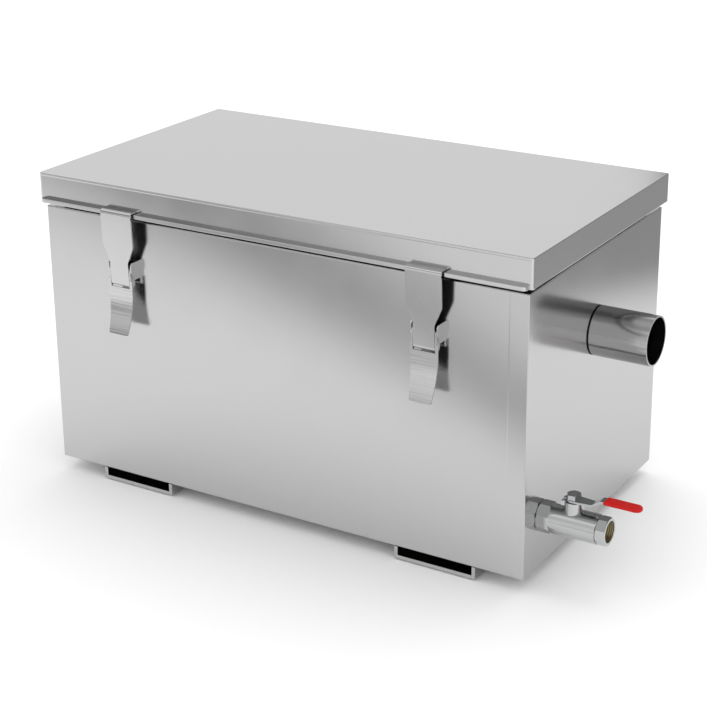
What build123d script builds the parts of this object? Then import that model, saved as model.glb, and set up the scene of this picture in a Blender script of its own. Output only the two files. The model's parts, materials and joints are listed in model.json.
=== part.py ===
import os
from math import asin, cos, degrees, radians

from build123d import *

os.makedirs("parts", exist_ok=True)

# Lengths are in millimetres. X runs from the inlet to the outlet, Y from the front to the back and
# Z up. The origin is on the floor under the middle of the tank.

# Tank, folded and welded from thin sheet
tank_length = 500.0
tank_width = 278.6
tank_height = 256.8
sheet = 1.2
bend_radius = 1.4
weld_radius = 0.9
rim_width = 25.0

# Feet, two channels under the tank
foot_width = 80.0
foot_height = 11.5
foot_wall = 3.3
inlet_foot_from_end = 91.0
outlet_foot_from_end = 85.5

# Lid and its gasket
lid_height = 27.1
lid_end_overhang = 4.5
lid_front_overhang = 3.5
lid_sheet = 1.2
lid_bend_radius = 0.9
lid_corner_radius = 3.0
lid_flange = 26.0
hem_reach = 5.5
hem_height = 3.8
hem_corner_radius = 4.5
hem_end_inset = 4.0
hem_nose_radius = 0.6
gasket_height = 4.8
gasket_width = 14.0
gasket_inset = 9.0
gasket_corner_radius = 8.0

# Pipes
pipe_radius = 22.5
pipe_wall = 1.5
pipe_stub = 54.4
pipe_seat_step = 0.8
pipe_seam_width = 1.0
outlet_height = 192.2
inlet_drop = 14.7
outlet_inner_stub = 10.0
inlet_inner_stub = 38.0
dip_reach = 44.0
dip_bend_radius = 34.0
dip_clearance = 55.0

# Baffle plates
baffle_flange = 15.0
baffle_top_gap = 30.0
baffle_bottom_gap = 60.0
first_baffle_gap = 26.5
second_baffle_gap = 67.0

# Strainer basket, its rails and handle
basket_length = 120.0
basket_side_gap = 16.5
basket_depth = 92.0
basket_sheet = 1.2
basket_rim = 12.0
basket_corner_radius = 6.0
basket_wall_gap = 14.0
basket_pipe_gap = 9.0
hole_radius = 4.0
hole_pitch = 26.0
rail_leg = 14.0
rail_drop = 18.0
rod_radius = 3.0
rod_bend_radius = 22.0
handle_rise = 48.0
handle_grip_on_wall = 30.0

# Drain valve
valve_from_front = 33.5
valve_height = 58.9
valve_gap = 0.2
nipple_radius = 10.3
nipple_bore = 7.5
nipple_inside = 14.0
thread_clearance = 0.05
collar_flats = 26.0
collar_length = 11.5
barrel_radius = 13.0
barrel_length = 42.3
cap_flats = 23.4
cap_length = 9.0
mouth_radius = 9.6
mouth_depth = 14.0
octagon_chamfer = 0.9
stem_from_wall = 29.6
ball_radius = 10.0
ball_flat = 9.3
port_radius = 6.5
ball_clearance = 0.4
seat_clearance = 0.08
insert_step = 0.6
seat_length = 4.0
seat_back = 9.5
tower_radius = 8.2
tower_height = 20.9
stem_radius = 4.0
stem_clearance = 0.06
tang_width = 3.0
tang_depth = 1.5
gland_radius = 6.2
gland_depth = 7.0
gland_nut_height = 3.5
stop_reach = 2.4
stop_height = 4.2

# Valve handle
lever_gap = 0.4
lever_sheet = 1.6
lever_rise = 5.3
lever_bend_radius = 3.0
lever_boss_radius = 6.8
lever_neck_width = 9.6
lever_rise_start = 17.5
lever_rise_length = 8.0
lever_length = 56.5
stop_tab_width = 4.4
stop_tab_reach = 10.6
stop_tab_drop = 5.0
stop_tab_play = 0.35
thread_radius = 3.0
flat_half_width = 2.3
nut_flats = 11.5
nut_height = 4.5
grip_start = 28.4
grip_end = 61.2
grip_width = 11.0
grip_height = 3.8
grip_edge_radius = 1.5

# Toggle latches, two on the front wall and two on the back wall
latch_from_end = 91.0
latch_sheet = 1.2
side_play = 0.2
tab_half_width = 10.3
tab_play = 0.3
ear_reach = 9.9
ear_bottom = 213.5
ear_top = 230.3
ear_heel = 5.7
ear_low = 221.3
ear_high = 227.9
ear_slope = 1.9
ear_corner_radius = 0.9
pivot_out = 7.7
pivot_height = 222.4
rivet_radius = 1.3
pin_out = 6.95
pin_height = 209.5
pin_radius = 1.5
pin_play = 0.08
cheek_pivot_radius = 2.4
cheek_pin_radius = 3.0
lever_face = 10.1
lever_top = 212.9
lever_slot_bottom = 205.4
curl_start = 196.9
lever_end = 161.8
curl_reach = 7.2
lever_end_width = 21.2
lever_corner_radius = 2.0
strap_sheet = 1.5
strap_width = 34.0
strap_knee = 245.9
strap_neck = 229.9
strap_top_out = 12.6
strap_bend_radius = 3.6
strap_knee_radius = 2.5
ledge_play = 0.6
skirt_play = 0.3
eye_slit = 0.5

# Heights and places that follow from the sizes above
tank_bottom = foot_height
tank_floor = tank_bottom + sheet
rim_top = tank_bottom + tank_height
lid_bottom = rim_top + gasket_height
lid_length = tank_length + 2 * lid_end_overhang
lid_width = tank_width + 2 * lid_front_overhang
hem_length = lid_length - 2 * hem_end_inset
ledge_height = lid_bottom + hem_height
end_x = tank_length / 2
wall_y = tank_width / 2
inner_y = wall_y - sheet
inlet_height = outlet_height + inlet_drop
valve_y = -wall_y + valve_from_front
basket_width = tank_width - 2 * sheet - 2 * basket_side_gap
left_foot_x = -end_x + inlet_foot_from_end
right_foot_x = end_x - outlet_foot_from_end
latch_spacing = tank_length - 2 * latch_from_end
seat_radius = pipe_radius - pipe_seat_step
basket_x = -end_x + sheet + basket_wall_gap + basket_length / 2
first_baffle_x = basket_x + basket_length / 2 + first_baffle_gap
dip_start = end_x - sheet - outlet_inner_stub
dip_x = dip_start - dip_reach
second_baffle_x = dip_x - pipe_radius - second_baffle_gap

# The tank's end view: a rectangle with its bends rounded, from which the end panels are trimmed
def tank_outline(plane):
    with BuildSketch(plane) as outline:
        with Locations((0, tank_bottom + tank_height / 2)):
            RectangleRounded(tank_width, tank_height, bend_radius)
    return outline


# Plan of an end panel's rim flange, mitred into the rims of the front and back walls
def rim_plan(height, side):
    with BuildSketch(Plane.XY.offset(height)) as plan:
        with BuildLine():
            corner = (side * end_x, -wall_y)
            panel = (side * (end_x - sheet), -wall_y)
            mitre = (side * (end_x - sheet), -inner_y)
            inner = (side * (end_x - rim_width), -wall_y + rim_width)
            near = Polyline(corner, panel, mitre, inner)
            far = mirror(near, about=Plane.XZ)
            Line(near @ 0, far @ 0)
            Line(near @ 1, far @ 1)
        make_face()
    return plan


# Front wall, bottom and back wall in one folded sheet, with a rim turned inwards along each top edge
with BuildPart() as tank_wrapper:
    with BuildSketch(Plane.YZ.offset(-end_x + sheet)):
        with BuildLine():
            FilletPolyline(
                (-wall_y + rim_width, rim_top),
                (-wall_y, rim_top),
                (-wall_y, tank_bottom),
                (wall_y, tank_bottom),
                (wall_y, rim_top),
                (wall_y - rim_width, rim_top),
                radius=bend_radius,
            )
            offset(amount=sheet, side=Side.LEFT)
        make_face()
    extrude(amount=tank_length - 2 * sheet)
    for end in (-1, 1):
        extrude(rim_plan(rim_top - bend_radius, end).sketch, amount=bend_radius, mode=Mode.SUBTRACT)
tank_wrapper.part.label = "tank_wrapper"
export_step(tank_wrapper.part, "parts/tank_wrapper.step")


# An end wall with its rim flange, trimmed to the wrapper's outline
def end_panel(side):
    with BuildPart() as panel:
        with BuildSketch(Plane.XZ):
            with BuildLine():
                FilletPolyline(
                    (side * (end_x - rim_width), rim_top),
                    (side * end_x, rim_top),
                    (side * end_x, tank_bottom),
                    radius=bend_radius,
                )
                offset(amount=sheet, side=Side.RIGHT if side > 0 else Side.LEFT)
            make_face()
        extrude(amount=wall_y, both=True)
        extrude(tank_outline(Plane.YZ).sketch, amount=end_x, both=True, mode=Mode.INTERSECT)
        with BuildSketch(Plane.XY.offset(tank_bottom)):
            RectangleRounded(tank_length, tank_width, weld_radius)
        extrude(amount=tank_height, mode=Mode.INTERSECT)
        with BuildSketch(Plane.XY.offset(rim_top - bend_radius)):
            with Locations((side * (end_x - sheet - rim_width / 2), 0)):
                Rectangle(rim_width, tank_width)
            add(rim_plan(0, side).sketch, mode=Mode.SUBTRACT)
        extrude(amount=bend_radius, mode=Mode.SUBTRACT)
    return panel


inlet_end_panel = end_panel(-1)
with BuildPart() as inlet_end:
    add(inlet_end_panel.part)
    with BuildSketch(Plane.YZ.offset(-end_x)):
        with Locations((0, inlet_height)):
            Circle(seat_radius)
    extrude(amount=sheet, mode=Mode.SUBTRACT)
inlet_end.part.label = "inlet_end_panel"
export_step(inlet_end.part, "parts/inlet_end_panel.step")

outlet_end_panel = end_panel(1)
with BuildPart() as outlet_end:
    add(outlet_end_panel.part)
    with BuildSketch(Plane.YZ.offset(end_x)):
        with Locations((0, outlet_height)):
            Circle(seat_radius)
        with Locations((valve_y, valve_height)):
            Circle(nipple_radius)
    extrude(amount=-sheet, mode=Mode.SUBTRACT)
outlet_end.part.label = "outlet_end_panel"
export_step(outlet_end.part, "parts/outlet_end_panel.step")

# Feet: channels with their open side against the tank's bottom
for name, centre in (("left_foot_channel", left_foot_x), ("right_foot_channel", right_foot_x)):
    with BuildPart() as foot_channel:
        with BuildSketch(Plane.XZ):
            with Locations((centre, foot_height / 2)):
                Rectangle(foot_width, foot_height)
            with Locations((centre, foot_height / 2 + foot_wall)):
                Rectangle(foot_width - 2 * foot_wall, foot_height, mode=Mode.SUBTRACT)
        extrude(amount=wall_y, both=True)
    foot_channel.part.label = name
    export_step(foot_channel.part, f"parts/{name}.step")

# Lid: a pan whose front and back skirts are folded out to a hem and back in under it, as a flange
with BuildPart() as lid_pan:
    with BuildSketch(Plane.XY.offset(lid_bottom)):
        RectangleRounded(hem_length, lid_width + 2 * hem_reach, hem_corner_radius)
    extrude(amount=hem_height)
    hem_edges = lid_pan.edges().group_by(Axis.Z)
    fillet(hem_edges[0] + hem_edges[-1], radius=hem_nose_radius)
    with BuildSketch(Plane.XY.offset(lid_bottom)):
        RectangleRounded(lid_length, lid_width, lid_corner_radius)
    extrude(amount=lid_height)
    fillet(lid_pan.faces().sort_by(Axis.Z)[-1].edges(), radius=lid_bend_radius)
    end_edges = lid_pan.edges().filter_by(Axis.Y).group_by(Axis.Z)[0].sort_by(Axis.X)
    fillet([end_edges[0], end_edges[-1]], radius=lid_sheet)
    with BuildSketch(Plane.XY.offset(lid_bottom + lid_sheet)):
        RectangleRounded(
            lid_length - 2 * lid_sheet, lid_width - 2 * lid_sheet, lid_corner_radius - lid_sheet
        )
    extrude(amount=lid_height - 2 * lid_sheet, mode=Mode.SUBTRACT)
    with BuildSketch(Plane.XY.offset(lid_bottom + lid_sheet)):
        Rectangle(hem_length - 2 * hem_corner_radius, lid_width + 2 * (hem_reach - lid_sheet))
    extrude(amount=hem_height - 2 * lid_sheet, mode=Mode.SUBTRACT)
    with BuildSketch(Plane.XY.offset(lid_bottom)):
        Rectangle(lid_length - 2 * lid_flange, lid_width - 2 * lid_flange)
    extrude(amount=lid_sheet, mode=Mode.SUBTRACT)
lid_pan.part.label = "lid_pan"
export_step(lid_pan.part, "parts/lid_pan.step")

# Gasket frame between the tank's rim and the lid's flange
with BuildPart() as lid_gasket:
    with BuildSketch(Plane.XY.offset(rim_top)):
        RectangleRounded(
            tank_length - 2 * gasket_inset, tank_width - 2 * gasket_inset, gasket_corner_radius
        )
        offset(amount=-gasket_width, kind=Kind.INTERSECTION, mode=Mode.SUBTRACT)
    extrude(amount=gasket_height)
lid_gasket.part.label = "lid_gasket"
export_step(lid_gasket.part, "parts/lid_gasket.step")

# A pipe along X, turned down where it sits in the end panel so that a fine seam shows outside
def wall_pipe(height, side, inner_stub):
    with BuildPart() as pipe:
        with BuildSketch(Plane.YZ.offset(side * (end_x - sheet - inner_stub))):
            with Locations((0, height)):
                Circle(seat_radius)
        extrude(amount=side * (inner_stub + sheet + pipe_seam_width))
        with BuildSketch(Plane.YZ.offset(side * (end_x + pipe_seam_width))):
            with Locations((0, height)):
                Circle(pipe_radius)
        extrude(amount=side * (pipe_stub - pipe_seam_width))
        with BuildSketch(Plane.YZ.offset(side * (end_x + pipe_stub))):
            with Locations((0, height)):
                Circle(pipe_radius - pipe_wall)
        extrude(amount=-side * (pipe_stub + sheet + inner_stub), mode=Mode.SUBTRACT)
    return pipe


# Outlet pipe, from its weld to the dip elbow inside to its open end outside
outlet_pipe = wall_pipe(outlet_height, 1, outlet_inner_stub)
outlet_pipe.part.label = "outlet_pipe"
export_step(outlet_pipe.part, "parts/outlet_pipe.step")

# Dip elbow: it takes the water from below the floating grease
with BuildPart() as outlet_dip_elbow:
    with BuildLine(Plane.XZ) as dip_path:
        FilletPolyline(
            (dip_start, outlet_height),
            (dip_x, outlet_height),
            (dip_x, tank_floor + dip_clearance),
            radius=dip_bend_radius,
        )
    with BuildSketch(Plane(origin=dip_path.line @ 0, z_dir=dip_path.line % 0)):
        Circle(pipe_radius)
        Circle(pipe_radius - pipe_wall, mode=Mode.SUBTRACT)
    sweep()
outlet_dip_elbow.part.label = "outlet_dip_elbow"
export_step(outlet_dip_elbow.part, "parts/outlet_dip_elbow.step")

# Inlet pipe, open over the basket
inlet_pipe = wall_pipe(inlet_height, -1, inlet_inner_stub)
inlet_pipe.part.label = "inlet_pipe"
export_step(inlet_pipe.part, "parts/inlet_pipe.step")

# Baffle plates with their sides folded against the walls, open below for the water to pass
for name, place in (("first_baffle", first_baffle_x), ("second_baffle", second_baffle_x)):
    with BuildPart() as baffle:
        with BuildSketch(Plane.XY.offset(tank_floor + baffle_bottom_gap)):
            with BuildLine():
                FilletPolyline(
                    (place + baffle_flange, -inner_y),
                    (place, -inner_y),
                    (place, inner_y),
                    (place + baffle_flange, inner_y),
                    radius=bend_radius,
                )
                offset(amount=sheet, side=Side.RIGHT)
            make_face()
        extrude(amount=rim_top - baffle_top_gap - tank_floor - baffle_bottom_gap)
    baffle.part.label = name
    export_step(baffle.part, f"parts/{name}.step")

# Basket rails: angles on the front and back walls
rail_top = inlet_height - pipe_radius - basket_pipe_gap - basket_sheet
for name, side in (("front_basket_rail", -1), ("back_basket_rail", 1)):
    with BuildPart() as basket_rail:
        with BuildSketch(Plane.YZ.offset(-end_x + sheet)):
            with BuildLine():
                FilletPolyline(
                    (side * inner_y, rail_top - rail_drop),
                    (side * inner_y, rail_top),
                    (side * (inner_y - rail_leg), rail_top),
                    radius=bend_radius,
                )
                offset(amount=sheet, side=Side.LEFT if side > 0 else Side.RIGHT)
            make_face()
        extrude(amount=first_baffle_x + end_x - sheet)
    basket_rail.part.label = name
    export_step(basket_rail.part, f"parts/{name}.step")

# Strainer basket: a perforated box that hangs by its rim on the rails
with BuildPart() as strainer_basket:
    with BuildSketch(Plane((basket_x, 0, rail_top - basket_depth))):
        RectangleRounded(basket_length, basket_width, basket_corner_radius)
    extrude(amount=basket_depth)
    with BuildSketch(Plane((basket_x, 0, rail_top))):
        RectangleRounded(basket_length, basket_width + 2 * basket_rim, basket_corner_radius)
    extrude(amount=basket_sheet)
    with BuildSketch(Plane((basket_x, 0, rail_top - basket_depth + basket_sheet))):
        RectangleRounded(
            basket_length - 2 * basket_sheet,
            basket_width - 2 * basket_sheet,
            basket_corner_radius - basket_sheet,
        )
    extrude(amount=basket_depth, mode=Mode.SUBTRACT)
    hole_rows = int((basket_length - hole_pitch) // hole_pitch)
    hole_columns = int((basket_width - hole_pitch) // hole_pitch)
    wall_rows = int((basket_depth - hole_pitch) // hole_pitch)
    with BuildSketch(Plane((basket_x, 0, rail_top - basket_depth))):
        with GridLocations(hole_pitch, hole_pitch, hole_rows, hole_columns):
            Circle(hole_radius)
    extrude(amount=basket_sheet, mode=Mode.SUBTRACT)
    with BuildSketch(Plane((basket_x, 0, rail_top - basket_depth / 2), x_dir=(1, 0, 0), z_dir=(0, -1, 0))):
        with GridLocations(hole_pitch, hole_pitch, hole_rows, wall_rows):
            Circle(hole_radius)
    extrude(amount=basket_width, both=True, mode=Mode.SUBTRACT)
strainer_basket.part.label = "strainer_basket"
export_step(strainer_basket.part, "parts/strainer_basket.step")

# Basket handle: a bent rod welded to the inside of the two short walls
with BuildPart() as basket_handle:
    handle_y = basket_width / 2 - basket_sheet - rod_radius
    with BuildLine(Plane.YZ.offset(basket_x)) as handle_path:
        FilletPolyline(
            (-handle_y, rail_top - handle_grip_on_wall),
            (-handle_y, rail_top + handle_rise),
            (handle_y, rail_top + handle_rise),
            (handle_y, rail_top - handle_grip_on_wall),
            radius=rod_bend_radius,
        )
    with BuildSketch(Plane(origin=handle_path.line @ 0, z_dir=handle_path.line % 0)):
        Circle(rod_radius)
    sweep()
basket_handle.part.label = "basket_handle"
export_step(basket_handle.part, "parts/basket_handle.step")

# The valve's axis starts at the wall and runs out along X. Its side plane holds the axis and the stem.
valve_axis = Plane(origin=(end_x, valve_y, valve_height), x_dir=(0, 1, 0), z_dir=(1, 0, 0))
valve_side = Plane(origin=(end_x, valve_y, valve_height), x_dir=(1, 0, 0), z_dir=(0, -1, 0))
valve_line = Axis((end_x, valve_y, valve_height), (1, 0, 0))
stem_plane = Plane((end_x + stem_from_wall, valve_y, valve_height))
barrel_end = collar_length + barrel_length
seat_start = stem_from_wall - seat_back
seat_end = stem_from_wall + seat_back
cavity_radius = ball_radius + ball_clearance
insert_radius = cavity_radius + insert_step

# Nipple through the wall: the valve is screwed on it
with BuildPart() as drain_nipple:
    with BuildSketch(valve_axis.offset(-sheet - nipple_inside)):
        Circle(nipple_radius)
        Circle(nipple_bore, mode=Mode.SUBTRACT)
    extrude(amount=nipple_inside + sheet + collar_length)
drain_nipple.part.label = "drain_nipple"
export_step(drain_nipple.part, "parts/drain_nipple.step")


# An octagon bar along the valve's axis, with its corners turned down at both ends
def octagon_bar(start, length, flats):
    corner = flats / 2 / cos(radians(22.5))
    with BuildPart() as bar:
        with BuildSketch(valve_axis.offset(start)):
            RegularPolygon(flats / 2, 8, major_radius=False, rotation=22.5)
        extrude(amount=length)
        with BuildSketch(valve_side):
            with BuildLine():
                Polyline(
                    (start, 0),
                    (start, flats / 2),
                    (start + octagon_chamfer, corner),
                    (start + length - octagon_chamfer, corner),
                    (start + length, flats / 2),
                    (start + length, 0),
                    close=True,
                )
            make_face()
        revolve(axis=valve_line, mode=Mode.INTERSECT)
    return bar.part


# Valve body: octagon collar, round barrel and the stem tower with two stop lugs
collar = octagon_bar(valve_gap, collar_length - valve_gap, collar_flats)
with BuildPart() as valve_body:
    add(collar)
    with BuildSketch(valve_axis.offset(collar_length)):
        Circle(barrel_radius)
    extrude(amount=barrel_length)
    with BuildSketch(stem_plane):
        Circle(tower_radius)
    extrude(amount=tower_height)
    stop_angle = degrees(asin((stop_tab_width / 2 + stop_tab_play) / (stop_tab_reach - lever_sheet)))
    with BuildSketch(stem_plane.offset(tower_height - stop_height)):
        with PolarLocations(0, 1, start_angle=180 + stop_angle):
            with Locations((tower_radius, stop_reach / 2)):
                Rectangle(2 * stop_reach, stop_reach)
        with PolarLocations(0, 1, start_angle=90 - stop_angle):
            with Locations((tower_radius, -stop_reach / 2)):
                Rectangle(2 * stop_reach, stop_reach)
    extrude(amount=stop_height)
    with BuildSketch(valve_side):
        with BuildLine():
            Polyline(
                (0, 0),
                (0, nipple_radius + thread_clearance),
                (collar_length + valve_gap, nipple_radius + thread_clearance),
                (collar_length + valve_gap, port_radius),
                (seat_start, port_radius),
                (seat_start, cavity_radius),
                (seat_end, cavity_radius),
                (seat_end, insert_radius),
                (barrel_end, insert_radius),
                (barrel_end, 0),
                close=True,
            )
        make_face()
    revolve(axis=valve_line, mode=Mode.SUBTRACT)
    with BuildSketch(stem_plane):
        Circle(stem_radius + stem_clearance)
    extrude(amount=tower_height, mode=Mode.SUBTRACT)
    with BuildSketch(stem_plane.offset(tower_height)):
        Circle(gland_radius)
    extrude(amount=-gland_depth, mode=Mode.SUBTRACT)
valve_body.part.label = "valve_body"
export_step(valve_body.part, "parts/valve_body.step")

# Valve end cap: an octagon with the drain's mouth, screwed into the barrel
with BuildPart() as valve_end_cap:
    add(octagon_bar(barrel_end, cap_length, cap_flats))
    with BuildSketch(valve_axis.offset(seat_end)):
        Circle(insert_radius - thread_clearance)
    extrude(amount=barrel_end - seat_end)
    with BuildSketch(valve_axis.offset(seat_end)):
        Circle(port_radius)
    extrude(amount=barrel_end - seat_end, mode=Mode.SUBTRACT)
    with BuildSketch(valve_axis.offset(barrel_end + cap_length)):
        Circle(mouth_radius)
    extrude(amount=-mouth_depth, mode=Mode.SUBTRACT)
valve_end_cap.part.label = "valve_end_cap"
export_step(valve_end_cap.part, "parts/valve_end_cap.step")

# Seats: one ring each side of the ball, hollowed to its curve
for name, back in (("inner_valve_seat", seat_start), ("outer_valve_seat", seat_end - seat_length)):
    with BuildPart() as valve_seat:
        with BuildSketch(valve_side):
            with Locations((back + seat_length / 2, (cavity_radius + port_radius) / 2)):
                Rectangle(seat_length, cavity_radius - port_radius)
            with Locations((stem_from_wall, 0)):
                Circle(ball_radius + seat_clearance, mode=Mode.SUBTRACT)
        revolve(axis=valve_line)
    valve_seat.part.label = name
    export_step(valve_seat.part, f"parts/{name}.step")

# Stem packing and the gland nut that presses it
packing_bottom = tower_height - gland_depth
packing_height = gland_depth - gland_nut_height
with BuildPart() as stem_packing:
    with BuildSketch(stem_plane.offset(packing_bottom)):
        Circle(gland_radius)
        Circle(stem_radius + stem_clearance, mode=Mode.SUBTRACT)
    extrude(amount=packing_height)
stem_packing.part.label = "stem_packing"
export_step(stem_packing.part, "parts/stem_packing.step")

with BuildPart() as gland_nut:
    with BuildSketch(stem_plane.offset(packing_bottom + packing_height)):
        Circle(gland_radius)
        Circle(stem_radius + stem_clearance, mode=Mode.SUBTRACT)
    extrude(amount=gland_nut_height)
    with BuildSketch(stem_plane.offset(tower_height)):
        Rectangle(2 * gland_radius, tang_width)
    extrude(amount=-tang_depth, mode=Mode.SUBTRACT)
gland_nut.part.label = "gland_nut"
export_step(gland_nut.part, "parts/gland_nut.step")

# Ball with its waterway and the slot that the stem turns it by
with BuildPart() as valve_ball:
    with Locations(stem_plane.location):
        Sphere(ball_radius)
    with BuildSketch(valve_axis.offset(stem_from_wall)):
        Circle(port_radius)
    extrude(amount=ball_radius, both=True, mode=Mode.SUBTRACT)
    with BuildSketch(stem_plane.offset(ball_flat)):
        Rectangle(2 * ball_radius, 2 * ball_radius)
    extrude(amount=ball_radius, mode=Mode.SUBTRACT)
    with BuildSketch(stem_plane.offset(ball_flat)):
        Rectangle(2 * ball_radius, tang_width)
    extrude(amount=-tang_depth, mode=Mode.SUBTRACT)
valve_ball.part.label = "valve_ball"
export_step(valve_ball.part, "parts/valve_ball.step")

# Stem: tang in the ball's slot, round shank, two flats for the lever and a thread for its nut
lever_bottom = tower_height + lever_gap
lever_top_face = lever_bottom + lever_sheet
with BuildPart() as valve_stem:
    with BuildSketch(stem_plane.offset(ball_flat - tang_depth)):
        Rectangle(2 * (stem_radius - tang_depth), tang_width)
    extrude(amount=tang_depth)
    with BuildSketch(stem_plane.offset(ball_flat)):
        Circle(stem_radius)
    extrude(amount=lever_bottom - ball_flat)
    with BuildSketch(stem_plane.offset(lever_bottom)):
        Circle(thread_radius)
        Rectangle(2 * thread_radius, 2 * flat_half_width, mode=Mode.INTERSECT)
    extrude(amount=lever_sheet)
    with BuildSketch(stem_plane.offset(lever_top_face)):
        Circle(thread_radius)
    extrude(amount=nut_height)
valve_stem.part.label = "valve_stem"
export_step(valve_stem.part, "parts/valve_stem.step")

# Lever: a strip with a stop tab bent down at one end and a step up to the grip at the other
with BuildPart() as valve_lever:
    lever_side = Plane(stem_plane.origin, x_dir=(1, 0, 0), z_dir=(0, -1, 0))
    with BuildSketch(lever_side):
        with BuildLine():
            FilletPolyline(
                (-stop_tab_reach, lever_bottom - stop_tab_drop),
                (-stop_tab_reach, lever_top_face),
                (lever_rise_start, lever_top_face),
                (lever_rise_start + lever_rise_length, lever_top_face + lever_rise),
                (lever_length, lever_top_face + lever_rise),
                radius=lever_bend_radius,
            )
            offset(amount=lever_sheet, side=Side.RIGHT)
        make_face()
    extrude(amount=lever_boss_radius, both=True)
    with BuildSketch(stem_plane) as lever_plan:
        Circle(lever_boss_radius)
        with Locations((-stop_tab_reach / 2, 0)):
            Rectangle(stop_tab_reach, stop_tab_width)
        with BuildLine():
            Polyline(
                (0, lever_boss_radius),
                (lever_rise_start, lever_neck_width / 2),
                (lever_length, lever_neck_width / 2),
                (lever_length, -lever_neck_width / 2),
                (lever_rise_start, -lever_neck_width / 2),
                (0, -lever_boss_radius),
                close=True,
            )
        make_face()
        Circle(thread_radius, mode=Mode.SUBTRACT)
        with GridLocations(0, thread_radius + flat_half_width, 1, 2):
            Rectangle(2 * thread_radius, thread_radius - flat_half_width)
    extrude(amount=lever_top_face + 2 * lever_rise, mode=Mode.INTERSECT)
valve_lever.part.label = "valve_lever"
export_step(valve_lever.part, "parts/valve_lever.step")

# Grip: a dipped plastic sleeve with a round end
grip_middle = lever_top_face + lever_rise - lever_sheet / 2
with BuildPart() as lever_grip:
    with BuildSketch(stem_plane.offset(grip_middle - grip_height / 2)):
        with Locations(((grip_start + grip_end - grip_width / 2) / 2, 0)):
            Rectangle(grip_end - grip_width / 2 - grip_start, grip_width)
        with Locations((grip_end - grip_width / 2, 0)):
            Circle(grip_width / 2)
    extrude(amount=grip_height)
    grip_edges = lever_grip.edges().group_by(Axis.Z)
    fillet(grip_edges[0] + grip_edges[-1], radius=grip_edge_radius)
    with BuildSketch(stem_plane.offset(grip_middle - lever_sheet / 2)):
        with Locations(((grip_start + lever_length) / 2, 0)):
            Rectangle(lever_length - grip_start, lever_neck_width)
    extrude(amount=lever_sheet, mode=Mode.SUBTRACT)
lever_grip.part.label = "lever_grip"
export_step(lever_grip.part, "parts/lever_grip.step")

# Hexagon nut on the stem, its top corners turned down
with BuildPart() as lever_nut:
    with BuildSketch(stem_plane.offset(lever_top_face)):
        RegularPolygon(nut_flats / 2, 6, major_radius=False)
    extrude(amount=nut_height)
    nut_corner = nut_flats / 2 / cos(radians(30))
    with BuildSketch(lever_side):
        with BuildLine():
            Polyline(
                (0, lever_top_face),
                (nut_corner, lever_top_face),
                (nut_corner, lever_top_face + nut_height - (nut_corner - nut_flats / 2) / 2),
                (nut_flats / 2, lever_top_face + nut_height),
                (0, lever_top_face + nut_height),
                close=True,
            )
        make_face()
    revolve(axis=Axis(stem_plane.origin, (0, 0, 1)), mode=Mode.INTERSECT)
    with BuildSketch(stem_plane.offset(lever_top_face)):
        Circle(thread_radius)
    extrude(amount=nut_height, mode=Mode.SUBTRACT)
lever_nut.part.label = "lever_nut"
export_step(lever_nut.part, "parts/lever_nut.step")

# Half widths of a latch, from the strap's tab outwards to the bracket's ears
cheek_inner = tab_half_width + tab_play
cheek_outer = cheek_inner + latch_sheet
ear_inner = cheek_outer + side_play
ear_outer = ear_inner + latch_sheet
latch_depth = strap_top_out + hem_reach
strap_top = ledge_height + ledge_play + strap_sheet


# A latch's section plane: first axis straight out from the wall, second axis up
def latch_section(place, side):
    return Plane(origin=(place, side * wall_y, 0), x_dir=(0, side, 0), z_dir=(side, 0, 0))


# A latch's front plane, on the wall
def latch_front(place, side):
    return Plane(origin=(place, side * wall_y, 0), x_dir=(1, 0, 0), z_dir=(0, -1, 0))


# Bracket: a web on the wall and two ears that stand out from it
def latch_bracket(place, side):
    with BuildPart() as bracket:
        with BuildSketch(latch_section(place, side)) as ear:
            with BuildLine():
                Polyline(
                    (0, ear_bottom),
                    (ear_heel, ear_bottom),
                    (ear_reach, ear_low),
                    (ear_reach, ear_high),
                    (ear_reach - ear_slope, ear_top),
                    (0, ear_top),
                    close=True,
                )
            make_face()
            fillet(ear.vertices().group_by(Axis.X)[1:], radius=ear_corner_radius)
        extrude(amount=ear_outer, both=True)
        with BuildSketch(latch_section(place, side)):
            with Locations((latch_sheet + ear_reach / 2, (ear_bottom + ear_top) / 2)):
                Rectangle(ear_reach, ear_top - ear_bottom)
        extrude(amount=ear_inner, both=True, mode=Mode.SUBTRACT)
        with BuildSketch(latch_section(place, side)):
            with Locations((pivot_out, pivot_height)):
                Circle(rivet_radius)
        extrude(amount=ear_outer, both=True, mode=Mode.SUBTRACT)
    return bracket.part


# Rivets: one flush stub in each ear, leaving the middle free for the strap
def latch_rivets(place, side):
    with BuildPart() as rivets:
        for stub_start in (cheek_inner, -ear_outer):
            with BuildSketch(latch_section(place, side).offset(stub_start)):
                with Locations((pivot_out, pivot_height)):
                    Circle(rivet_radius)
            extrude(amount=ear_outer - cheek_inner)
    return rivets.part


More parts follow.
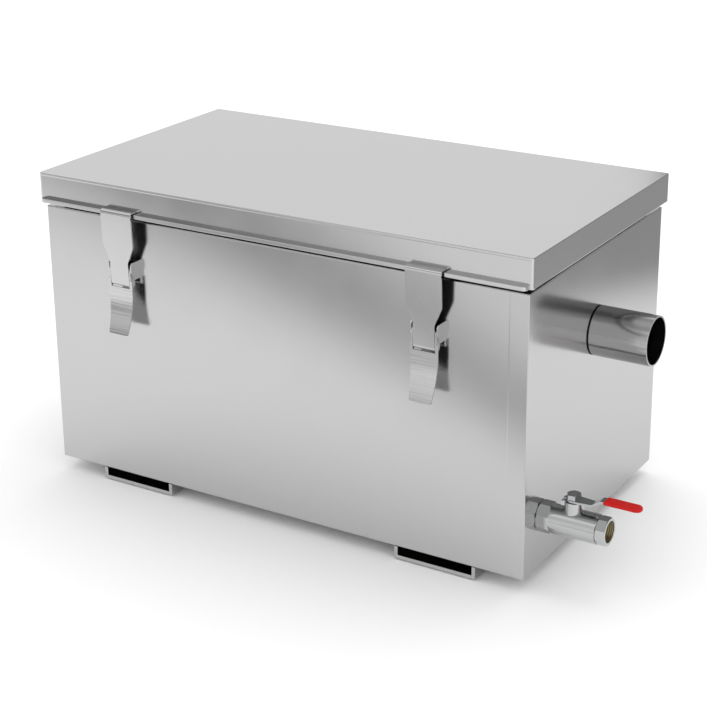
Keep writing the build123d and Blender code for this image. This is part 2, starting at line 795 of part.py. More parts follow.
# Lever: a curled finger plate with a slot for the strap's tab and two cheeks folded back beside it
def latch_lever(place, side):
    section = latch_section(place, side)
    curl_drop = curl_start - lever_end
    curl_radius = (curl_drop**2 + curl_reach**2) / (2 * curl_reach)
    with BuildPart() as lever:
        with BuildSketch(section):
            with BuildLine():
                straight = Line((lever_face, lever_top), (lever_face, curl_start))
                JernArc(straight @ 1, (0, -1), curl_radius, degrees(asin(curl_drop / curl_radius)))
                offset(amount=latch_sheet, side=Side.RIGHT)
            make_face()
        extrude(amount=ear_outer, both=True)
        with BuildSketch(latch_front(place, side)):
            with BuildLine():
                right = Polyline(
                    (0, lever_top),
                    (ear_outer, lever_top),
                    (ear_outer, curl_start),
                    (lever_end_width / 2, lever_end - latch_sheet),
                    (0, lever_end - latch_sheet),
                )
                mirror(right, about=Plane.YZ)
            make_face()
        extrude(amount=latch_depth * 2, both=True, mode=Mode.INTERSECT)
        lever_end_face = lever.faces().sort_by(Axis.Z)[0]
        fillet(lever_end_face.edges().filter_by(Axis.X, reverse=True), radius=lever_corner_radius)
        with BuildSketch(latch_front(place, side)):
            with Locations((0, (lever_slot_bottom + lever_top) / 2)):
                Rectangle(2 * cheek_inner, lever_top - lever_slot_bottom)
        extrude(amount=latch_depth * 2, both=True, mode=Mode.SUBTRACT)
        for cheek_start in (cheek_inner, -cheek_outer):
            with BuildSketch(section.offset(cheek_start)):
                with Locations((pivot_out, pivot_height)):
                    Circle(cheek_pivot_radius)
                with Locations((pin_out, pin_height)):
                    Circle(cheek_pin_radius)
                with Locations((lever_face - latch_sheet / 2, (lever_slot_bottom + lever_top) / 2)):
                    Rectangle(latch_sheet, lever_top - lever_slot_bottom)
                make_hull()
            extrude(amount=latch_sheet)
        with BuildSketch(section):
            with Locations((pivot_out, pivot_height)):
                Circle(rivet_radius + pin_play)
            with Locations((pin_out, pin_height)):
                Circle(pin_radius)
        extrude(amount=cheek_outer, both=True, mode=Mode.SUBTRACT)
    return lever.part


# Pin that the strap's eye turns on, held in the lever's cheeks
def latch_pin(place, side):
    with BuildPart() as pin:
        with BuildSketch(latch_section(place, side)):
            with Locations((pin_out, pin_height)):
                Circle(pin_radius)
        extrude(amount=cheek_outer, both=True)
    return pin.part


# Strap: an eye rolled round the pin, a plate that widens above the bracket, and a hook over the hem
def latch_strap(place, side):
    section = latch_section(place, side)
    eye_inner = pin_radius + pin_play
    eye_outer = eye_inner + strap_sheet
    with BuildPart() as strap:
        with BuildSketch(section) as profile:
            with BuildLine():
                Polyline(
                    (pin_out + eye_inner, pin_height),
                    (pin_out + eye_outer, pin_height),
                    (strap_top_out, strap_top),
                    (lid_front_overhang + skirt_play, strap_top),
                    (lid_front_overhang + skirt_play, strap_top - strap_sheet),
                    (strap_top_out - strap_sheet, strap_top - strap_sheet),
                    close=True,
                )
            make_face()
            top_corner, under_corner = profile.vertices().sort_by(Axis.X)[-1:-3:-1]
            fillet(top_corner, radius=strap_bend_radius)
            fillet(under_corner, radius=strap_bend_radius - strap_sheet)
            with Locations((pin_out, pin_height)):
                Circle(eye_outer)
                Circle(eye_inner, mode=Mode.SUBTRACT)
            with Locations((pin_out + eye_inner / 2, pin_height + eye_outer)):
                Rectangle(eye_slit, 2 * strap_sheet, mode=Mode.SUBTRACT)
        extrude(amount=strap_width / 2, both=True)
        with BuildSketch(latch_front(place, side)) as outline:
            with BuildLine():
                right = Polyline(
                    (0, strap_top),
                    (strap_width / 2, strap_top),
                    (strap_width / 2, strap_knee),
                    (tab_half_width, strap_neck),
                    (tab_half_width, pin_height - eye_outer),
                    (0, pin_height - eye_outer),
                )
                mirror(right, about=Plane.YZ)
            make_face()
            knees = outline.vertices().group_by(Axis.Y)
            fillet(knees[1] + knees[2], radius=strap_knee_radius)
        extrude(amount=latch_depth * 2, both=True, mode=Mode.INTERSECT)
    return strap.part


latch_pieces = {
    "bracket": latch_bracket,
    "rivets": latch_rivets,
    "lever": latch_lever,
    "pin": latch_pin,
    "strap": latch_strap,
}
for row, side in (("front", -1), ("back", 1)):
    for column, place in (("left", -latch_spacing / 2), ("right", latch_spacing / 2)):
        for piece, make in latch_pieces.items():
            name = f"{row}_{column}_latch_{piece}"
            solid = make(place, side)
            solid.label = name
            export_step(solid, f"parts/{name}.step")
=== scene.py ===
import json
import math

import bpy
import numpy as np
from mathutils import Matrix, Vector


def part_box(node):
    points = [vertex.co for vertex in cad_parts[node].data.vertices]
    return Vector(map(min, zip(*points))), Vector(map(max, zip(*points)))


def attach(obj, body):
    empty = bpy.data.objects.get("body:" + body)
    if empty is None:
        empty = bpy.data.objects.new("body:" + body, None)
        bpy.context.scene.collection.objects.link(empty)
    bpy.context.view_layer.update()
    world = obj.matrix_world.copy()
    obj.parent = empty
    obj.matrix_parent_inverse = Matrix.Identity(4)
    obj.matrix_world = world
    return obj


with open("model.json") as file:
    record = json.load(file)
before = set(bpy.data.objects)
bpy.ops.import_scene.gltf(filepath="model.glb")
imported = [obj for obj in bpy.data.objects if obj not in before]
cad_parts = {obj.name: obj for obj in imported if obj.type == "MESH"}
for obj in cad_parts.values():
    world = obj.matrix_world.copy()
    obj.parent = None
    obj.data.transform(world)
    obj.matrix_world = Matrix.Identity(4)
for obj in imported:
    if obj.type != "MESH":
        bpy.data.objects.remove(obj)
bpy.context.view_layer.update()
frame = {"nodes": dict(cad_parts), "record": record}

mm = 0.001
alongX, alongY, alongZ = 0, 1, 2
nodes = frame["nodes"]


# helpers

def hexColour(text):  # sRGB hex to the linear colour that a shader wants
    parts = [int(text[i:i + 2], 16) / 255 for i in (0, 2, 4)]
    return tuple(c / 12.92 if c <= 0.04045 else ((c + 0.055) / 1.055) ** 2.4 for c in parts) + (1.0,)


def addNode(tree, kind, settings=None, values=None, links=None):  # one node, set and linked
    node = tree.nodes.new(kind)
    for name, value in (settings or {}).items():
        setattr(node, name, value)
    for name, value in (values or {}).items():
        node.inputs[name].default_value = value
    for name, source in (links or {}).items():
        tree.links.new(source, node.inputs[name])
    return node


def emptyMaterial(name):
    material = bpy.data.materials.new(name)
    material.use_nodes = True
    material.node_tree.nodes.clear()
    return material, material.node_tree


def meshPiece(name, verts, faces, material, body=None):
    mesh = bpy.data.meshes.new(name)
    mesh.from_pydata(verts.tolist(), [], faces.tolist())
    mesh.validate()
    mesh.update()
    mesh.polygons.foreach_set("use_smooth", np.ones(len(mesh.polygons), dtype=bool))
    piece = bpy.data.objects.new(name, mesh)
    bpy.context.scene.collection.objects.link(piece)
    mesh.materials.append(material)
    if body:
        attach(piece, body)
    return piece


def downGrid(low, high, count):  # evenly spaced values, one for each row of a grid
    return np.linspace(low, high, count)[:, None]


def acrossGrid(low, high, count):  # evenly spaced values, one for each column of a grid
    return np.linspace(low, high, count)[None, :]


def roundGrid(count):  # angles round a full turn, one for each column, with the last not on the first
    return np.linspace(0, 2 * np.pi, count, endpoint=False)[None, :]


def gridPoints(x, y, z):  # the grid's points, row by row
    return np.stack(np.broadcast_arrays(x, y, z), axis=-1).reshape(-1, 3)


def gridFaces(rows, columns, closeColumns=False):
    # quads of a grid whose points run row by row; closed columns join the last to the first
    r = np.arange(rows - 1)
    c = np.arange(columns if closeColumns else columns - 1)
    r, c = (part.ravel() for part in np.meshgrid(r, c, indexing="ij"))
    here, below, beside = r * columns, (r + 1) * columns, (c + 1) % columns
    return np.stack([here + c, here + beside, below + beside, below + c], axis=1)


# metals

steelLook = {
    "colour": "cdcdcd",      # bright neutral grey of a cleaned 304 sheet
    "edge": "f0f0f0",        # holds the reflectance level until the view grazes the sheet, as steel does
    "roughness": 0.15,       # mirrors what is near and blurs what is far
    "grainWidth": 0.6,       # mm; real grain is finer, drawn as coarse as it needs to show
    "grainLength": 60.0,     # mm
    "grainDepth": 0.0006,    # mm of relief
    "grainDetail": 3.0,      # finer lines within a line
    "grainRoughness": 0.6,   # how strong those finer lines are
    "streak": 0.03,          # roughness that a line of the grain adds
    "wave": 160.0,           # mm from one slow swell of the sheet to the next
    "waveDepth": 0.010,      # mm
    "waveDetail": 1.0,
    "smudge": 45.0,          # mm across a wiped patch
    "smudgeDetail": 4.0,
    "smudgeRange": (0.3, 0.75),   # of the noise, from the glossiest patch to the dullest
    "smudgeGloss": 0.02,     # roughness that a patch takes away or adds
}


def steelMaterial(name, look, grainAxis):
    # 304 stainless sheet, cold rolled and finely ground: a soft mirror with faint lines along the grain,
    # slow swells from rolling and wiped patches that are a little duller
    material, tree = emptyMaterial(name)
    place = addNode(tree, "ShaderNodeTexCoord").outputs["Object"]
    stretch = [1 / (look["grainWidth"] * mm)] * 3
    stretch[grainAxis] = 1 / (look["grainLength"] * mm)
    lined = addNode(tree, "ShaderNodeMapping", values={"Scale": stretch}, links={"Vector": place})
    grain = addNode(tree, "ShaderNodeTexNoise",
                    values={"Scale": 1.0, "Detail": look["grainDetail"], "Roughness": look["grainRoughness"]},
                    links={"Vector": lined.outputs["Vector"]})
    swell = addNode(tree, "ShaderNodeTexNoise",
                    values={"Scale": 1 / (look["wave"] * mm), "Detail": look["waveDetail"]},
                    links={"Vector": place})
    patch = addNode(tree, "ShaderNodeTexNoise",
                    values={"Scale": 1 / (look["smudge"] * mm), "Detail": look["smudgeDetail"]},
                    links={"Vector": place})
    dull = addNode(tree, "ShaderNodeMapRange",
                   values={"From Min": look["smudgeRange"][0], "From Max": look["smudgeRange"][1],
                           "To Min": look["roughness"] - look["smudgeGloss"],
                           "To Max": look["roughness"] + look["smudgeGloss"]},
                   links={"Value": patch.outputs["Fac"]})
    streak = addNode(tree, "ShaderNodeMath", settings={"operation": "MULTIPLY_ADD"},
                     values={1: look["streak"]}, links={0: grain.outputs["Fac"], 2: dull.outputs["Result"]})
    bumpWave = addNode(tree, "ShaderNodeBump", values={"Strength": 1.0, "Distance": look["waveDepth"] * mm},
                       links={"Height": swell.outputs["Fac"]})
    bump = addNode(tree, "ShaderNodeBump", values={"Strength": 1.0, "Distance": look["grainDepth"] * mm},
                   links={"Height": grain.outputs["Fac"], "Normal": bumpWave.outputs["Normal"]})
    if "seam" in look:
        bump = seamBump(tree, look["seam"], place, bump)
    shader = addNode(tree, "ShaderNodeBsdfPrincipled",
                     values={"Base Color": hexColour(look["colour"]), "Metallic": 1.0,
                             "Specular Tint": hexColour(look["edge"])},
                     links={"Roughness": streak.outputs["Value"], "Normal": bump.outputs["Normal"]})
    addNode(tree, "ShaderNodeOutputMaterial", links={"Surface": shader.outputs["BSDF"]})
    return material


def seamBump(tree, seam, place, bump):
    # a low step in the relief of faces that look to the front or back, at which the mirror image jumps
    axes = addNode(tree, "ShaderNodeSeparateXYZ", links={"Vector": place})
    step = addNode(tree, "ShaderNodeMapRange", settings={"interpolation_type": "SMOOTHSTEP"},
                   values={"From Min": (seam["place"] - seam["half"]) * mm,
                           "From Max": (seam["place"] + seam["half"]) * mm},
                   links={"Value": axes.outputs[seam["axis"]]})
    normal = addNode(tree, "ShaderNodeNewGeometry").outputs["True Normal"]
    normalParts = addNode(tree, "ShaderNodeSeparateXYZ", links={"Vector": normal})
    facing = addNode(tree, "ShaderNodeMath", settings={"operation": "ABSOLUTE"},
                     links={0: normalParts.outputs["Y"]})
    height = addNode(tree, "ShaderNodeMath", settings={"operation": "MULTIPLY"},
                     links={0: step.outputs["Result"], 1: facing.outputs["Value"]})
    return addNode(tree, "ShaderNodeBump", values={"Strength": 1.0, "Distance": seam["lift"] * mm},
                   links={"Height": height.outputs["Value"], "Normal": bump.outputs["Normal"]})


mottleLook = {
    "detail": 4.0,
    "range": (0.3, 0.7),     # of the noise, from the glossiest spot to the dullest
    "glossier": 0.02,        # roughness taken away in a glossy spot
    "duller": 0.03,          # roughness added in a dull one
}


def metalMaterial(name, colour, roughness, spot, relief):
    # drawn, turned or plated metal: even grey with a fine handled mottle in its gloss; spot and relief in mm
    material, tree = emptyMaterial(name)
    place = addNode(tree, "ShaderNodeTexCoord").outputs["Object"]
    mottle = addNode(tree, "ShaderNodeTexNoise",
                     values={"Scale": 1 / (spot * mm), "Detail": mottleLook["detail"]},
                     links={"Vector": place})
    gloss = addNode(tree, "ShaderNodeMapRange",
                    values={"From Min": mottleLook["range"][0], "From Max": mottleLook["range"][1],
                            "To Min": roughness - mottleLook["glossier"],
                            "To Max": roughness + mottleLook["duller"]},
                    links={"Value": mottle.outputs["Fac"]})
    bump = addNode(tree, "ShaderNodeBump", values={"Strength": 1.0, "Distance": relief * mm},
                   links={"Height": mottle.outputs["Fac"]})
    shader = addNode(tree, "ShaderNodeBsdfPrincipled",
                     values={"Base Color": hexColour(colour), "Metallic": 1.0},
                     links={"Roughness": gloss.outputs["Result"], "Normal": bump.outputs["Normal"]})
    addNode(tree, "ShaderNodeOutputMaterial", links={"Surface": shader.outputs["BSDF"]})
    return material


# ground sheet of the tank and feet, a little greyer than the lid; the grain runs along the tank
wallLook = dict(steelLook, colour="c5c5c5")
groundSheet = steelMaterial("ground304Sheet", wallLook, alongX)

# the long walls show one fine upright line near the outlet end, drawn as the edge of a lapped sheet
endLap = 17.5                # mm from the tank's end to that edge
lapSeam = {
    "axis": alongX,
    "place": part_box("outlet_end_panel")[1][0] / mm - endLap,
    "half": 0.8,             # mm, half the width of the step
    "lift": 0.05,            # mm, its height
}
wallSheet = steelMaterial("ground304Wall", dict(wallLook, seam=lapSeam), alongX)

# the lid shows one fine level line below its top, drawn as the edge of a plate laid on its skirts
plateEdge = 2.3              # mm from the lid's top down to that edge
plateSeam = {
    "axis": alongZ,
    "place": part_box("lid_pan")[1][2] / mm - plateEdge,
    "half": 0.5,             # mm
    "lift": 0.08,            # mm
}
lidSheet = steelMaterial("ground304Lid", dict(steelLook, colour="cccccc", seam=plateSeam), alongX)

# the end panels are ground across, and mirror the room a little darker than the walls
groundEnd = steelMaterial("ground304End", dict(wallLook, colour="c2c2c2"), alongY)

# narrow pressed strip of brackets and straps: short upright grain, tighter swells from pressing
latchLook = dict(steelLook, colour="c8c8c8", roughness=0.14, grainLength=15.0, waveDepth=0.004, wave=40.0,
                 smudge=12.0)
latchSteel = steelMaterial("pressed304Strip", latchLook, alongZ)

# brushed strip of the levers: level lines, drawn coarser than real ones so that they show one by one
leverLook = dict(steelLook, colour="cccccc", roughness=0.17, grainWidth=2.2, grainLength=90.0,
                 grainDepth=0.14, grainDetail=1.0, wave=30.0, waveDepth=0.004, smudge=10.0)
leverSteel = steelMaterial("brushed304Strip", leverLook, alongX)

# polished welded tube: darker and a little glossier than the sheet, with its lines along the pipe
tubeLook = dict(steelLook, colour="b4b4b4", roughness=0.14, grainLength=30.0, waveDepth=0.003, wave=60.0,
                smudge=20.0)
tubeSteel = steelMaterial("polished304Tube", tubeLook, alongX)

# sheet inside the tank as the mill leaves it: grey, and too dull for a clear mirror image
innerSteel = steelMaterial("mill304Sheet", dict(steelLook, colour="bdbdbd", roughness=0.3), alongZ)

rodSteel = metalMaterial("drawn304Rod", "c4c4c2", 0.26, 3.0, 0.004)              # smooth, a little dull
platedBrass = metalMaterial("nickelPlatedBrass", "bfc0c0", 0.12, 4.0, 0.002)     # turned and plated: bright
threadBrass = metalMaterial("cutBrassThread", "8d8360", 0.32, 0.8, 0.006)        # bare cut metal: yellow grey
zincPlate = metalMaterial("zincPlatedSteel", "b6b8b9", 0.13, 4.0, 0.002)         # a cold, faintly blue grey
chromeBall = metalMaterial("chromedBall", "d8d8d8", 0.08, 2.0, 0.001)            # the clearest mirror here


# rubber and plastics

skinLook = {
    "detail": 3.0,
    "range": (0.3, 0.7),     # of the noise, from the glossiest lump to the dullest
    "glossier": 0.05,        # roughness taken away on a glossy lump
    "duller": 0.08,          # roughness added on a dull one
}


def softMaterial(name, colour, roughness, specular, spot, relief):
    # moulded rubber or plastic: one colour, with a fine skin of small lumps that breaks the gloss; in mm
    material, tree = emptyMaterial(name)
    place = addNode(tree, "ShaderNodeTexCoord").outputs["Object"]
    skin = addNode(tree, "ShaderNodeTexNoise",
                   values={"Scale": 1 / (spot * mm), "Detail": skinLook["detail"]},
                   links={"Vector": place})
    gloss = addNode(tree, "ShaderNodeMapRange",
                    values={"From Min": skinLook["range"][0], "From Max": skinLook["range"][1],
                            "To Min": roughness - skinLook["glossier"],
                            "To Max": roughness + skinLook["duller"]},
                    links={"Value": skin.outputs["Fac"]})
    bump = addNode(tree, "ShaderNodeBump", values={"Strength": 1.0, "Distance": relief * mm},
                   links={"Height": skin.outputs["Fac"]})
    shader = addNode(tree, "ShaderNodeBsdfPrincipled",
                     values={"Base Color": hexColour(colour), "Specular IOR Level": specular},
                     links={"Roughness": gloss.outputs["Result"], "Normal": bump.outputs["Normal"]})
    addNode(tree, "ShaderNodeOutputMaterial", links={"Surface": shader.outputs["BSDF"]})
    return material


gasketRubber = softMaterial("nitrileRubber", "0e0e0e", 0.65, 0.15, 0.8, 0.02)    # black and matt
gripVinyl = softMaterial("dippedVinyl", "bd0f0b", 0.38, 0.25, 2.5, 0.01)         # red, with a soft shine
seatPlastic = softMaterial("mouldedPtfe", "e9e8e2", 0.45, 0.4, 1.0, 0.01)        # milky white, waxy
gapShade = softMaterial("paintedGapShade", "0d0d0d", 0.7, 0.2, 0.5, 0.02)            # painted shade: near-black, standing for the shadow in the gap where each pipe meets its end panel

finishes = {
    "tank_steel": wallSheet,
    "lid_steel": lidSheet,
    "foot_steel": groundSheet,
    "pipe_steel": tubeSteel,
    "inner_steel": innerSteel,
    "rod_steel": rodSteel,
    "bracket_steel": latchSteel,
    "latch_steel": latchSteel,
    "gasket_rubber": gasketRubber,
    "valve_metal": platedBrass,
    "ball_chrome": chromeBall,
    "lever_zinc": zincPlate,
    "grip_plastic": gripVinyl,
    "seat_plastic": seatPlastic,
}
slotOf = {part["node"]: part["material_slot"] for part in frame["record"]["subparts"]}
for name, node in nodes.items():
    material = finishes[slotOf[name]]
    if name.endswith("end_panel"):
        material = groundEnd
    if name.endswith("latch_lever"):
        material = leverSteel
    if not node.data.materials:
        node.data.materials.append(material)
    for slot in node.material_slots:
        slot.material = material
print("finishes on the packed nodes:", len(finishes))


# thread in the drain's mouth

mouthThread = {
    "radius": 9.55,          # mm, just inside the bore's wall, which is at 9.6
    "depth": 0.55,           # mm that a crest stands in from the wall
    "pitch": 1.814,          # mm, fourteen turns to the inch
    "length": 12.5,          # mm
    "fromMouth": 13.4,       # mm from the end cap's outer face to the innermost turn
    "fade": 1.0,             # mm over which the crests die out at each end
    "aroundPoints": 96,
    "pointsPerTurn": 12,
}


def threadSurface(look, start, axisY, axisZ):
    # distance from the axis = radius - depth * fade * triangle wave of (way along / pitch - angle / turn)
    rows = int(look["length"] / look["pitch"] * look["pointsPerTurn"])
    along = downGrid(0, look["length"], rows)
    angle = roundGrid(look["aroundPoints"])
    phase = (along / look["pitch"] - angle / (2 * np.pi)) % 1.0
    fade = np.clip(np.minimum(along, look["length"] - along) / look["fade"], 0, 1)
    radius = look["radius"] - look["depth"] * fade * (1 - np.abs(2 * phase - 1))
    verts = gridPoints(start / mm + along, axisY / mm + radius * np.cos(angle),
                       axisZ / mm + radius * np.sin(angle)) * mm
    return verts, gridFaces(rows, look["aroundPoints"], closeColumns=True)[:, ::-1]


capLow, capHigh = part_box("valve_end_cap")
capMiddle = (Vector(capLow) + Vector(capHigh)) / 2
innerEnd = capHigh[0] - mouthThread["fromMouth"] * mm
verts, faces = threadSurface(mouthThread, innerEnd, capMiddle.y, capMiddle.z)
meshPiece("drain_mouth_thread", verts, faces, threadBrass, "tank")
print("thread cut in the drain's mouth")


# painted shade: a near-black ring in each pipe's neck beside its end panel, standing for the shadow in the
# joint's gap

jointRing = {
    "radius": 22.2,          # mm; the pipe's neck is 21.7 here and its outside 22.5
    "length": 0.75,          # mm along the pipe
    "gap": 0.05,             # mm clear of the wall
    "aroundPoints": 128,
}


def ringSurface(look, start, axisY, axisZ):
    # a short tube: the radius stays, the angle runs round, and two rows lie along the pipe
    along = downGrid(0, look["length"], 2)
    angle = roundGrid(look["aroundPoints"])
    verts = gridPoints(start / mm + along, axisY / mm + look["radius"] * np.cos(angle),
                       axisZ / mm + look["radius"] * np.sin(angle)) * mm
    return verts, gridFaces(2, look["aroundPoints"], closeColumns=True)


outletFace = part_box("outlet_end_panel")[1][0]
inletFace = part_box("inlet_end_panel")[0][0]
ringStarts = {
    "outlet_pipe": outletFace + jointRing["gap"] * mm,
    "inlet_pipe": inletFace - (jointRing["length"] + jointRing["gap"]) * mm,
}
for pipeName, start in ringStarts.items():
    low, high = (Vector(corner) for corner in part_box(pipeName))
    middle = (low + high) / 2
    verts, faces = ringSurface(jointRing, start, middle.y, middle.z)
    meshPiece(pipeName + "_joint", verts, faces, gapShade, "tank")
print("joints laid round the pipes")


# camera

cameraLook = {
    "azimuth": 30.695, "elevation": 19.113, "roll": -0.277,   # degrees
    "distance": 1.7054, "right": 0.0238, "up": 0.1764,        # metres from a point under the tank's middle
    "bottom": 0.0125,        # metres, how high that point is
    "focal": 1743.8, "middleU": 379.13, "middleV": 275.7, "frame": 707.0,   # pixels
    "sensor": 36.0,          # mm
    "clipEnd": 50.0,         # metres
}


def placeCamera(look):
    # the camera looks back along the direction of azimuth and elevation, and a shift frames the picture
    az, el, ro = (math.radians(look[k]) for k in ("azimuth", "elevation", "roll"))
    back = Vector((math.sin(az) * math.cos(el), -math.cos(az) * math.cos(el), math.sin(el)))
    right = Vector((math.cos(az), math.sin(az), 0))
    up = back.cross(right)
    spot = back * look["distance"] + right * look["right"] + up * look["up"] + Vector((0, 0, look["bottom"]))
    turnedRight = right * math.cos(ro) + up * math.sin(ro)
    turnedUp = up * math.cos(ro) - right * math.sin(ro)
    data = bpy.data.cameras.new("photoCamera")
    data.sensor_width = look["sensor"]
    data.lens = look["focal"] / look["frame"] * look["sensor"]
    data.shift_x = (look["frame"] / 2 - look["middleU"]) / look["frame"]
    data.shift_y = (look["middleV"] - look["frame"] / 2) / look["frame"]
    data.clip_end = look["clipEnd"]
    camera = bpy.data.objects.new("photoCamera", data)
    turn = Matrix((turnedRight, turnedUp, back)).transposed().to_4x4()
    camera.matrix_world = Matrix.Translation(spot) @ turn
    bpy.context.scene.collection.objects.link(camera)
    bpy.context.scene.camera = camera
    return right, Vector((-math.sin(az), math.cos(az), 0))


acrossView, awayFromView = placeCamera(cameraLook)
print("camera placed")


# floor

floorLook = {
    "colour": "fbfbfb",
    "size": 12.0,            # metres
    "height": -0.0016,       # metres; leaves the thin dark line below each foot
}


def floorMaterial(look):
    # matt white paper: plain diffuse, so that only the object's own shadow marks it
    material, tree = emptyMaterial("whitePaper")
    shader = addNode(tree, "ShaderNodeBsdfDiffuse", values={"Color": hexColour(look["colour"])})
    addNode(tree, "ShaderNodeOutputMaterial", links={"Surface": shader.outputs["BSDF"]})
    return material


half, level = floorLook["size"] / 2, floorLook["height"]
corners = np.array([[-half, -half, level], [half, -half, level], [half, half, level], [-half, half, level]])
floor = meshPiece("floor", corners, np.array([[0, 1, 2, 3]]), floorMaterial(floorLook))


# dark cards, seen only in the steel; all lengths are metres, and dark runs from 0, clear, to 1, black

cardLift = 0.0015            # height of a card on the floor above the feet's plane


def cardMaterial(name):
    # black glow mixed with clear by the card's colour attribute, so that it is as dark as it is painted
    material, tree = emptyMaterial(name)
    paint = addNode(tree, "ShaderNodeVertexColor", settings={"layer_name": "dark"})
    black = addNode(tree, "ShaderNodeEmission", values={"Color": (0, 0, 0, 1), "Strength": 0.0})
    clear = addNode(tree, "ShaderNodeBsdfTransparent")
    mixed = addNode(tree, "ShaderNodeMixShader",
                    links={0: paint.outputs["Color"], 1: clear.outputs["BSDF"], 2: black.outputs["Emission"]})
    addNode(tree, "ShaderNodeOutputMaterial", links={"Surface": mixed.outputs["Shader"]})
    return material


def greyCard(name, x, y, z, dark):
    # a grid of points that only gloss sees, with its darkness kept as a colour
    x, y, z, dark = np.broadcast_arrays(x, y, z, dark)
    card = meshPiece(name, gridPoints(x, y, z), gridFaces(*x.shape), cardMaterial(name))
    paint = card.data.color_attributes.new("dark", "FLOAT_COLOR", "POINT")
    level = dark.ravel()
    colour = np.stack([level, level, level, np.ones_like(level)], axis=-1)
    paint.data.foreach_set("color", colour.ravel())
    card.visible_camera = False
    card.visible_diffuse = False
    card.visible_shadow = False
    card.visible_transmission = False


def onFloor(along, near):
    # point = along * acrossView - near * awayFromView, both measured from the tank's middle
    return (along * acrossView[0] - near * awayFromView[0], along * acrossView[1] - near * awayFromView[1])


def ease(value, low, high):
    # 0 up to low and 1 from high on, with the smooth step 3 t^2 - 2 t^3 between
    t = np.clip((value - low) / (high - low), 0, 1)
    return t * t * (3 - 2 * t)


def bell(distance, width):
    # 1 on the middle line, and one half at half the width from it: 2^-(2 distance / width)^2
    return 0.5 ** ((2 * distance / width) ** 2)


bandCard = {
    "along": (-2.4, -0.9, -0.3, 0.1),      # across the view, with width and dark at each of these places
    "width": (0.75, 0.29, 0.155, 0.12),
    "dark": (0.82, 0.70, 0.54, 0.47),
    "middle": 0.465,         # towards the camera
    "nearSharper": 1.4,      # how much faster the side near the tank falls off
    "beyond": 0.15,          # a faint even grey on the far side
    "beyondFrom": 0.8,       # widths from the middle line to where that grey is full
    "reach": (-1, 4),        # widths, from the edge near the tank to the far one
    "points": (61, 61),
}


def layBand(look):
    # darkness = dark * bell(distance from the middle line, width), and no less than the grey beyond
    along = downGrid(look["along"][0], look["along"][-1], look["points"][0])
    width = np.interp(along, look["along"], look["width"])
    dark = np.interp(along, look["along"], look["dark"])
    offset = acrossGrid(*look["reach"], look["points"][1]) * width
    fall = dark * bell(np.where(offset < 0, offset * look["nearSharper"], offset), width)
    fall = np.maximum(fall, look["beyond"] * ease(offset, 0, width * look["beyondFrom"]))
    x, y = onFloor(along, look["middle"] + offset)
    greyCard("floorBand", x, y, cardLift, fall)


rightCard = {
    "from": 0.635,           # across the view: clear here,
    "full": 0.79,            # and full here, where the upright part stands
    "dark": 0.64,
    "floorNear": (-3.0, 2.5),     # towards the camera, from the back end to the front
    "floorPoints": (25, 3),
    "uprightNear": (-3.0, 1.1),
    "nearSoft": 0.5,         # fade at its front end
    "height": 2.6,
    "soft": 0.6,             # fade at its top
    "uprightPoints": (31, 41),
}


def layRight(look):
    # on the floor darkness = dark * ease(across the view); upright it is dark, faded at the top and front
    along = downGrid(look["from"], look["full"], look["floorPoints"][0])
    near = acrossGrid(*look["floorNear"], look["floorPoints"][1])
    x, y = onFloor(along, near)
    greyCard("rightFloor", x, y, cardLift, look["dark"] * ease(along, look["from"], look["full"]))
    height = downGrid(0, look["height"], look["uprightPoints"][0])
    near = acrossGrid(*look["uprightNear"], look["uprightPoints"][1])
    front = look["uprightNear"][1]
    x, y = onFloor(look["full"], near)
    fall = look["dark"] * (1 - ease(height, look["height"] - look["soft"], look["height"]))
    greyCard("rightUpright", x, y, height, fall * (1 - ease(near, front - look["nearSoft"], front)))


inletCard = {
    "reach": (-1.8, -0.56),  # along x beyond the inlet end, which the photo doesn't show
    "middle": -0.95,
    "width": 0.3,
    "sides": (-0.42, 0.8),   # along y
    "soft": 0.25,            # fade at both sides
    "dark": 0.5,
    "points": (41, 25),
}


def layInlet(look):
    # darkness = dark * bell(distance from the middle line, width), faded at both ends of the line
    x = downGrid(*look["reach"], look["points"][0])
    y = acrossGrid(*look["sides"], look["points"][1])
    low, high = look["sides"]
    fall = look["dark"] * bell(x - look["middle"], look["width"])
    fall = fall * ease(y, low, low + look["soft"]) * (1 - ease(y, high - look["soft"], high))
    greyCard("inletFloor", x, y, cardLift, fall)


ceilingCard = {
    "height": 2.7,
    "radius": 2.3,
    "soft": 0.7,             # fade at its edge
    "middleDark": 0.24,      # lighter straight above,
    "dark": 0.5,             # and grey from this far out:
    "middle": 1.4,
    "points": (25, 49),
}


def layCeiling(look):
    # a round card; darkness goes from middleDark to dark with the distance from its middle
    reach = downGrid(0, look["radius"], look["points"][0])
    turn = acrossGrid(0, 2 * np.pi, look["points"][1])
    fall = look["middleDark"] + (look["dark"] - look["middleDark"]) * ease(reach, 0, look["middle"])
    fall = fall * (1 - ease(reach, look["radius"] - look["soft"], look["radius"]))
    greyCard("ceiling", reach * np.cos(turn), reach * np.sin(turn), look["height"], fall)


leftCard = {
    "angles": (0.0, 22.0, 38.0, 80.0),     # degrees from straight ahead of the front wall, round to the left
    "dark": (0.0, 0.31, 0.66, 0.75),       # at each of these angles
    "radius": 2.2,
    "bottom": 0.002,
    "height": 1.9,
    "soft": 0.6,             # fade at its top
    "lowShare": 0.42,        # how much of the dark it has at its foot,
    "rise": (0.42, 0.8),     # and the heights between which it gets the rest
    "points": (31, 41),
}


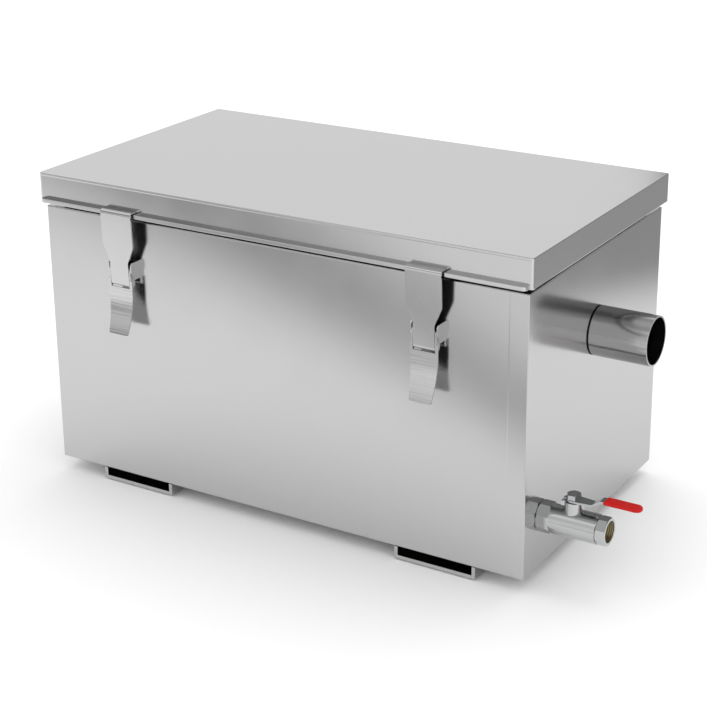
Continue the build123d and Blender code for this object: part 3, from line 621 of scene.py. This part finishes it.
def layLeft(look):
    # part of an upright cylinder; darkness = dark at the angle * share at the height
    height = downGrid(look["bottom"], look["height"], look["points"][0])
    angle = acrossGrid(look["angles"][0], look["angles"][-1], look["points"][1])
    turn = np.radians(angle)
    fall = np.interp(angle, look["angles"], look["dark"])
    fall = fall * (look["lowShare"] + (1 - look["lowShare"]) * ease(height, *look["rise"]))
    fall = fall * (1 - ease(height, look["height"] - look["soft"], look["height"]))
    greyCard("leftUpright", -look["radius"] * np.sin(turn), -look["radius"] * np.cos(turn), height, fall)


layBand(bandCard)
layRight(rightCard)
layInlet(inletCard)
layCeiling(ceilingCard)
layLeft(leftCard)
print("floor and cards laid")


# light

worldLook = {"seen": 1.0, "diffuse": 1.08}


def whiteWorld(look):
    # white all round for the camera, in gloss and through glass; a plain level for matt surfaces
    world = bpy.data.worlds.new("whiteRoom")
    bpy.context.scene.world = world
    world.use_nodes = True
    tree = world.node_tree
    tree.nodes.clear()
    path = addNode(tree, "ShaderNodeLightPath")
    sight = addNode(tree, "ShaderNodeMath", settings={"operation": "MAXIMUM"},
                    links={0: path.outputs["Is Camera Ray"], 1: path.outputs["Is Glossy Ray"]})
    sight = addNode(tree, "ShaderNodeMath", settings={"operation": "MAXIMUM"},
                    links={0: sight.outputs["Value"], 1: path.outputs["Is Transmission Ray"]})
    strength = addNode(tree, "ShaderNodeMapRange", values={"To Min": look["diffuse"], "To Max": look["seen"]},
                       links={"Value": sight.outputs["Value"]})
    glow = addNode(tree, "ShaderNodeBackground", values={"Color": (1, 1, 1, 1)},
                   links={"Strength": strength.outputs["Result"]})
    addNode(tree, "ShaderNodeOutputWorld", links={"Surface": glow.outputs["Background"]})


whiteWorld(worldLook)

lamps = {
    # metres, watts; soft boxes that matt surfaces see, while the steel mirrors the white room
    "topBox": {"spot": (0.1, 0.8, 2.6), "size": 1.5, "power": 12.0},
    "fillBox": {"spot": (1.8, -2.0, 2.2), "size": 1.8, "power": 1.0},
}
lampTarget = Vector((0, 0, 0.15))  # metres, half way up the object
for name, lamp in lamps.items():
    data = bpy.data.lights.new(name, "AREA")
    data.shape = "SQUARE"
    data.size = lamp["size"]
    data.energy = lamp["power"]
    box = bpy.data.objects.new(name, data)
    spot = Vector(lamp["spot"])
    turn = (lampTarget - spot).to_track_quat("-Z", "Y").to_matrix().to_4x4()
    box.matrix_world = Matrix.Translation(spot) @ turn
    box.visible_glossy = False
    bpy.context.scene.collection.objects.link(box)

bpy.context.scene.view_settings.view_transform = "Standard"
print("light set")
